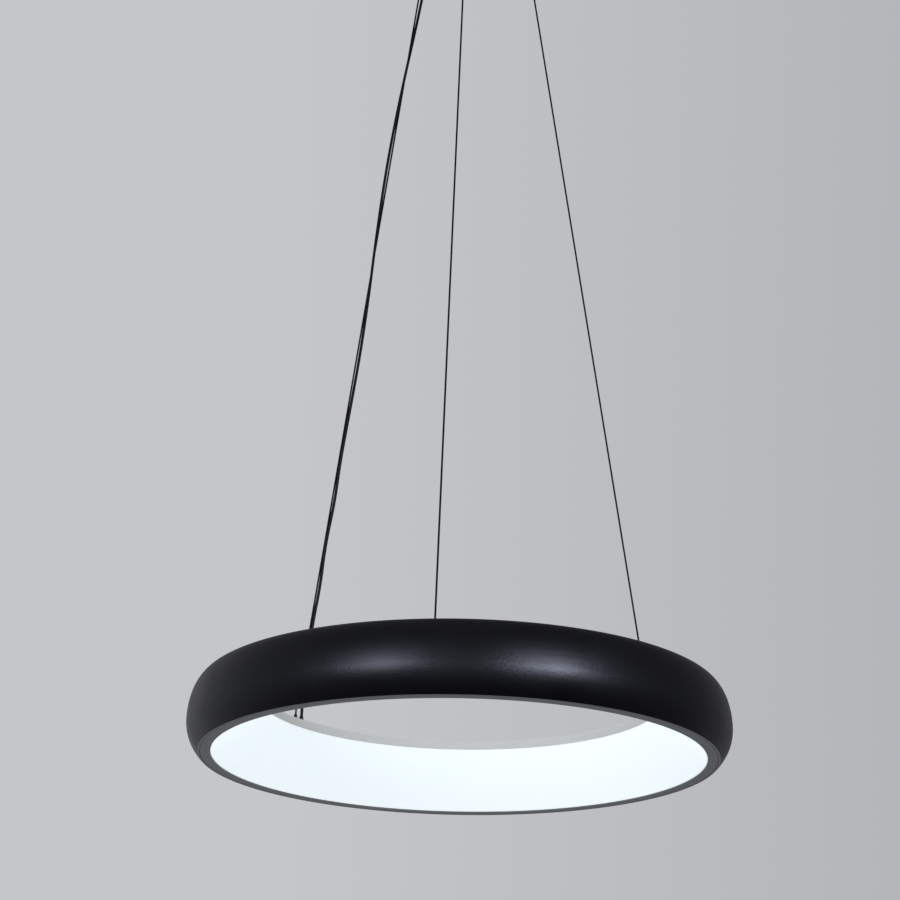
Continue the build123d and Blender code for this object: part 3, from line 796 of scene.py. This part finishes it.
# Moulded black nylon: soft black with a fine mould grain of about 0.6 mm and dull ribs.
black_nylon, tree, shader, place = start_finish("moulded black nylon", "131314", 0.5)
grain = add_node(tree, "ShaderNodeTexNoise", {"Scale": 1 / 0.0006, "Detail": 2.0}, {"Vector": place})
skin = add_node(
    tree,
    "ShaderNodeBump",
    {"Strength": 0.4, "Distance": 0.00004},
    {"Height": grain.outputs["Fac"]},
)
tree.links.new(skin.outputs["Normal"], shader.inputs["Normal"])
dull = add_node(
    tree,
    "ShaderNodeMapRange",
    {"To Min": 0.42, "To Max": 0.6},
    {"Value": grain.outputs["Fac"]},
)
tree.links.new(dull.outputs[0], shader.inputs["Roughness"])
nozzle.data.materials.append(black_nylon)
bpy.ops.transform.translate(value=canopy_gland)
bpy.ops.object.transform_apply(location=True, rotation=False, scale=False)
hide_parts("canopy_cord_gland")
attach(nozzle, "canopy")
dress(black_nylon, "canopy_gland_nut")

# Outer shell: steel sheet spun over a former to a deep half-round wall, with a rolled crown and a
# flat top dished a little below it, then powder coated as the canopy is. The flat rim of its mouth is
# drawn in the lip's mid grey; what makes the lip that light is not known. The tray screws hold it.
LIP = LIP_Z * 1000
RING_R = 300.0
RING_H = 80.0
DISH = 2.2
SHELL_T = 1.5
WIDEST = 33.0
TOP_ROUND = 23.0
MOUTH_R = 286.0
HOOP_R = 228.0
HOLE_R = HOOP_R + 1.5
ROLL_STEPS = 18
WALL_STEPS = 12
RING_STEPS = 192
RIM_DEPTH = 0.0003
flat_top = LIP + RING_H - DISH
wall_arc = ((RING_R - MOUTH_R) ** 2 + WIDEST**2) / (2 * (RING_R - MOUTH_R))
shell_line = []
for skin_t, direction in ((0.0, 1), (SHELL_T, -1)):
    round_h = RING_H - WIDEST - skin_t
    roll = math.pi - math.asin((RING_H - DISH - skin_t - WIDEST) / round_h)
    fall = math.asin(WIDEST / (wall_arc - skin_t))
    section = [(HOLE_R, flat_top - skin_t)]
    for k in range(ROLL_STEPS + 1):
        turn = roll * (1 - k / ROLL_STEPS)
        radius = RING_R - TOP_ROUND + (TOP_ROUND - skin_t) * math.cos(turn)
        section.append((radius, LIP + WIDEST + round_h * math.sin(turn)))
    for k in range(1, WALL_STEPS + 1):
        turn = -fall * k / WALL_STEPS
        radius = RING_R - wall_arc + (wall_arc - skin_t) * math.cos(turn)
        section.append((radius, LIP + WIDEST + (wall_arc - skin_t) * math.sin(turn)))
    shell_line += section[::direction]
shell = spun("shell", shell_line, RING_STEPS)
soften(shell, 0.25)
# Satin mid grey on the shell's rim and on the trim inside it, set to how light the lip shows from
# below; what makes the real lip that light is not known.
lip_grey, tree, shader, place = start_finish("satin mid grey lip", "7E7E80", 0.45)
fleck = add_node(tree, "ShaderNodeTexNoise", {"Scale": 1 / 0.0015, "Detail": 2.0}, {"Vector": place})
bumps = add_node(
    tree,
    "ShaderNodeBump",
    {"Strength": 0.3, "Distance": 0.00005},
    {"Height": fleck.outputs["Fac"]},
)
tree.links.new(bumps.outputs["Normal"], shader.inputs["Normal"])
satin = add_node(
    tree,
    "ShaderNodeMapRange",
    {"From Min": 0.3, "From Max": 0.7, "To Min": 0.38, "To Max": 0.48},
    {"Value": fleck.outputs["Fac"]},
)
tree.links.new(satin.outputs[0], shader.inputs["Roughness"])
shell.data.materials.append(black_coat)
shell.data.materials.append(lip_grey)
# Down-facing rim faces take the lip's mid grey, so that the grey lip shows wider.
for face in shell.data.polygons:
    if face.normal.z < -0.5 and face.center.z < LIP_Z + RIM_DEPTH:
        face.material_index = 1
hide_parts("outer_shell")
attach(shell, "ring")

# Light tray: white powder coated plate under the shell's top, its inner edge turned down into the
# pale hoop that shows above the diffuser.
TRAY_T = 1.2
HOOP_H = 11.5
HOOP_LEAN = 3.7
TRAY_R = HOOP_R + 46
tray_top = flat_top - SHELL_T
tray_low = tray_top - TRAY_T
hoop_low = flat_top - HOOP_H
hoop_in = HOOP_R - HOOP_LEAN
tray_line = [
    (HOOP_R, flat_top),
    (HOOP_R + TRAY_T, flat_top),
    (HOOP_R + TRAY_T - HOOP_LEAN * SHELL_T / HOOP_H, tray_top),
    (TRAY_R, tray_top),
    (TRAY_R, tray_low),
    (HOOP_R + TRAY_T - HOOP_LEAN * (SHELL_T + TRAY_T) / HOOP_H, tray_low),
    (hoop_in + TRAY_T, hoop_low),
    (hoop_in, hoop_low),
]
tray = spun("tray", tray_line, RING_STEPS)
soften(tray, 0.25)
# White powder coat: a matt, slightly grey white with the coat's soft peel, about 2 mm across.
white_coat, tree, shader, place = start_finish("white powder coat", "D4D6D3", 0.5)
peel = add_node(tree, "ShaderNodeTexNoise", {"Scale": 1 / 0.002, "Detail": 2.0}, {"Vector": place})
skin = add_node(
    tree,
    "ShaderNodeBump",
    {"Strength": 0.4, "Distance": 0.00006},
    {"Height": peel.outputs["Fac"]},
)
tree.links.new(skin.outputs["Normal"], shader.inputs["Normal"])
matt = add_node(
    tree,
    "ShaderNodeMapRange",
    {"To Min": 0.44, "To Max": 0.58},
    {"Value": peel.outputs["Fac"]},
)
tree.links.new(matt.outputs[0], shader.inputs["Roughness"])
tray.data.materials.append(white_coat)
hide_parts("light_tray")
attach(tray, "ring")

# Tray screws: six M4 button-head screws through the shell's top and the tray, black zinc plated,
# with plain zinc nuts below.
dress(black_zinc, "tray_screws")
dress(bright_zinc, "tray_nuts")

# Wire anchors: three slim studs turned from brass and blackened, nutted under the tray. Each holds
# its wire by an aluminium stop crimped on the end.
anchor_line = [
    (1.2, 84.8),
    (1.9, 84.8),
    (2.02, 82.6),
    (1.8, 82.4),
    (1.8, 81.9),
    (2.08, 81.7),
    (2.2, 79.3),
    (4.0, 79.0),
    (4.0, 77.8),
    (2.5, 77.8),
    (2.5, 71.1),
    (1.6, 71.1),
    (1.6, 76.8),
    (1.2, 76.8),
]
stud = spun("stud_pattern", [(radius, LIP + up) for radius, up in anchor_line], 32)
soften(stud, 0.1)
stud.data.materials.append(black_oxide)
for i, turn in enumerate(WIRE_TURNS):
    spot = Vector((math.cos(turn), math.sin(turn), 0)) * ANCHOR_R
    anchor = set_down(stud, f"anchor_stud_{i + 1}", spot)
    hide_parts(f"wire_anchor_{i + 1}")
    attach(anchor, "ring")
bpy.data.objects.remove(stud)
dress(bright_zinc, "anchor_nuts")
# Crimped aluminium: dull silver with the press marks as soft patches about 1.5 mm across.
crimp, tree, shader, place = start_finish("crimped aluminium", "BFC1C4", 0.4, 1.0)
press = add_node(tree, "ShaderNodeTexNoise", {"Scale": 1 / 0.0015, "Detail": 1.0}, {"Vector": place})
dent = add_node(
    tree,
    "ShaderNodeBump",
    {"Strength": 0.5, "Distance": 0.0001},
    {"Height": press.outputs["Fac"]},
)
tree.links.new(dent.outputs["Normal"], shader.inputs["Normal"])
dress(crimp, "wire_end_stops")

# Ring cord gland: slim black nylon nozzle beside the first anchor, ribbed as the canopy's is, with
# a nylon nut under the tray.
RING_NOZZLE_RIBS = 4
RING_NOZZLE_PITCH = 1.1
ring_gland_line = [(NOZZLE_BORE, 84.8), (2.4, 84.8)]
for k in range(RING_NOZZLE_RIBS):
    rib_top = 84.2 - RING_NOZZLE_PITCH * k
    rib_r = 2.4 + 0.3 * (84.8 - rib_top) / 5.5
    ring_gland_line += [
        (rib_r, rib_top),
        (rib_r - 0.3, rib_top - 0.1),
        (rib_r - 0.3, rib_top - 0.45),
        (rib_r, rib_top - 0.55),
    ]
ring_gland_line += [
    (2.7, 79.3),
    (4.5, 79.0),
    (4.5, 77.8),
    (3.0, 77.8),
    (3.0, 71.1),
    (NOZZLE_BORE, 71.1),
]
ring_nozzle = spun("ring_nozzle", [(radius, LIP + up) for radius, up in ring_gland_line], 32)
soften(ring_nozzle, 0.06)
ring_nozzle.data.materials.append(black_nylon)
bpy.ops.transform.translate(value=ring_gland)
bpy.ops.object.transform_apply(location=True, rotation=False, scale=False)
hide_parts("ring_cord_gland")
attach(ring_nozzle, "ring")
dress(black_nylon, "ring_gland_nut")

# LED boards: six arcs of aluminium board under the tray, each with twelve LED packages soldered on
# and two screws. Two leads bring them the cord's current.
# White solder mask: chalky and even, with the copper tracks just showing as rings 4 mm apart.
solder_mask, tree, shader, place = start_finish("white solder mask", "E6E6E1", 0.5)
tracks = add_node(
    tree,
    "ShaderNodeTexWave",
    {"wave_type": "RINGS", "rings_direction": "Z", "Scale": 2 * math.pi / (20 * 0.004)},
    {"Vector": place},
)
tone = add_node(
    tree,
    "ShaderNodeMix",
    {"data_type": "RGBA", 6: linear("E9E9E5"), 7: linear("D9D8CE")},
    {0: tracks.outputs["Fac"]},
)
tree.links.new(tone.outputs[2], shader.inputs["Base Color"])
raised = add_node(
    tree,
    "ShaderNodeBump",
    {"Strength": 0.3, "Distance": 0.00005},
    {"Height": tracks.outputs["Fac"]},
)
tree.links.new(raised.outputs["Normal"], shader.inputs["Normal"])
dress(solder_mask, *[f"led_board_{i}" for i in range(1, 7)])
# Phosphor in clear silicone: a glossy egg yellow that glows warm white, with a fine speckle.
phosphor, tree, shader, place = start_finish("LED phosphor in silicone", "E5C25A", 0.25)
shader.inputs["Emission Color"].default_value = linear("FFF3DA")
shader.inputs["Emission Strength"].default_value = 1.0
speckle = add_node(tree, "ShaderNodeTexNoise", {"Scale": 1 / 0.0005}, {"Vector": place})
tone = add_node(
    tree,
    "ShaderNodeMix",
    {"data_type": "RGBA", 6: linear("DDB748"), 7: linear("EECF6E")},
    {0: speckle.outputs["Fac"]},
)
tree.links.new(tone.outputs[2], shader.inputs["Base Color"])
dress(phosphor, "led_chips")
# PVC insulation: plain red with a soft shine and a faint ripple from the extruder.
insulation, tree, shader, place = start_finish("PVC lead insulation", "8C1F1F", 0.42)
ripple = add_node(tree, "ShaderNodeTexNoise", {"Scale": 1 / 0.001}, {"Vector": place})
skin = add_node(
    tree,
    "ShaderNodeBump",
    {"Strength": 0.3, "Distance": 0.00004},
    {"Height": ripple.outputs["Fac"]},
)
tree.links.new(skin.outputs["Normal"], shader.inputs["Normal"])
dress(insulation, "board_leads")
dress(bright_zinc, "board_screws")

# Diffuser: cone of opal acrylic, 2 mm thick, formed in one piece, seated on the trim ring and
# under the hoop's edge. Its even glow is painted in as an emission of its own, standing in for the
# light of the boards behind it.
LIP_R = 272.0
LIP_T = 1.5
OPAL_T = 2.0
FLANGE_R = LIP_R + 4.5
cone_r = LIP_R - 1
run_r = cone_r - hoop_in
run_z = hoop_low - LIP - LIP_T
cone_step = OPAL_T * math.hypot(run_r, run_z) / run_z
cone_line = [
    (cone_r, LIP + LIP_T),
    (FLANGE_R, LIP + LIP_T),
    (FLANGE_R, LIP + LIP_T + OPAL_T),
    (cone_r + cone_step - OPAL_T * run_r / run_z, LIP + LIP_T + OPAL_T),
    (hoop_in + cone_step, hoop_low),
    (hoop_in, hoop_low),
]
cone = spun("opal_cone", cone_line, RING_STEPS)
soften(cone, 0.2)
# Opal acrylic with a painted glow: an even cool white emission of its own, with no lamp spots, that
# stands in for the boards' light shining through it; a soft satin face and a faint cloudiness.
opal, tree, shader, place = start_finish("opal acrylic", "D9DDDE", 0.45)
shader.inputs["Emission Color"].default_value = linear("F1FCFF")
shader.inputs["Emission Strength"].default_value = 0.64
cloud = add_node(tree, "ShaderNodeTexNoise", {"Scale": 1 / 0.05, "Detail": 1.0}, {"Vector": place})
haze = add_node(
    tree,
    "ShaderNodeMapRange",
    {"To Min": 0.4, "To Max": 0.52},
    {"Value": cloud.outputs["Fac"]},
)
tree.links.new(haze.outputs[0], shader.inputs["Roughness"])
tone = add_node(
    tree,
    "ShaderNodeMix",
    {"data_type": "RGBA", 6: linear("D5DADB"), 7: linear("DDE0E1")},
    {0: cloud.outputs["Fac"]},
)
tree.links.new(tone.outputs[2], shader.inputs["Base Color"])
cone.data.materials.append(opal)
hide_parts("diffuser")
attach(cone, "ring")

# Trim ring: flat steel lip, powder coated, that closes the shell's mouth and carries the diffuser.
# Six spring clips behind it spread in the shell's narrower mouth.
TRIM_R = 283.5
trim_line = [(LIP_R, LIP), (TRIM_R, LIP), (TRIM_R, LIP + LIP_T), (LIP_R, LIP + LIP_T)]
trim = spun("trim", trim_line, RING_STEPS)
soften(trim, 0.3)
# The lip is drawn satin mid grey, as light as it shows from below; the cause of that is not known.
trim.data.materials.append(lip_grey)
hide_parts("trim_ring")
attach(trim, "ring")
dress(spring_steel, "trim_clips")
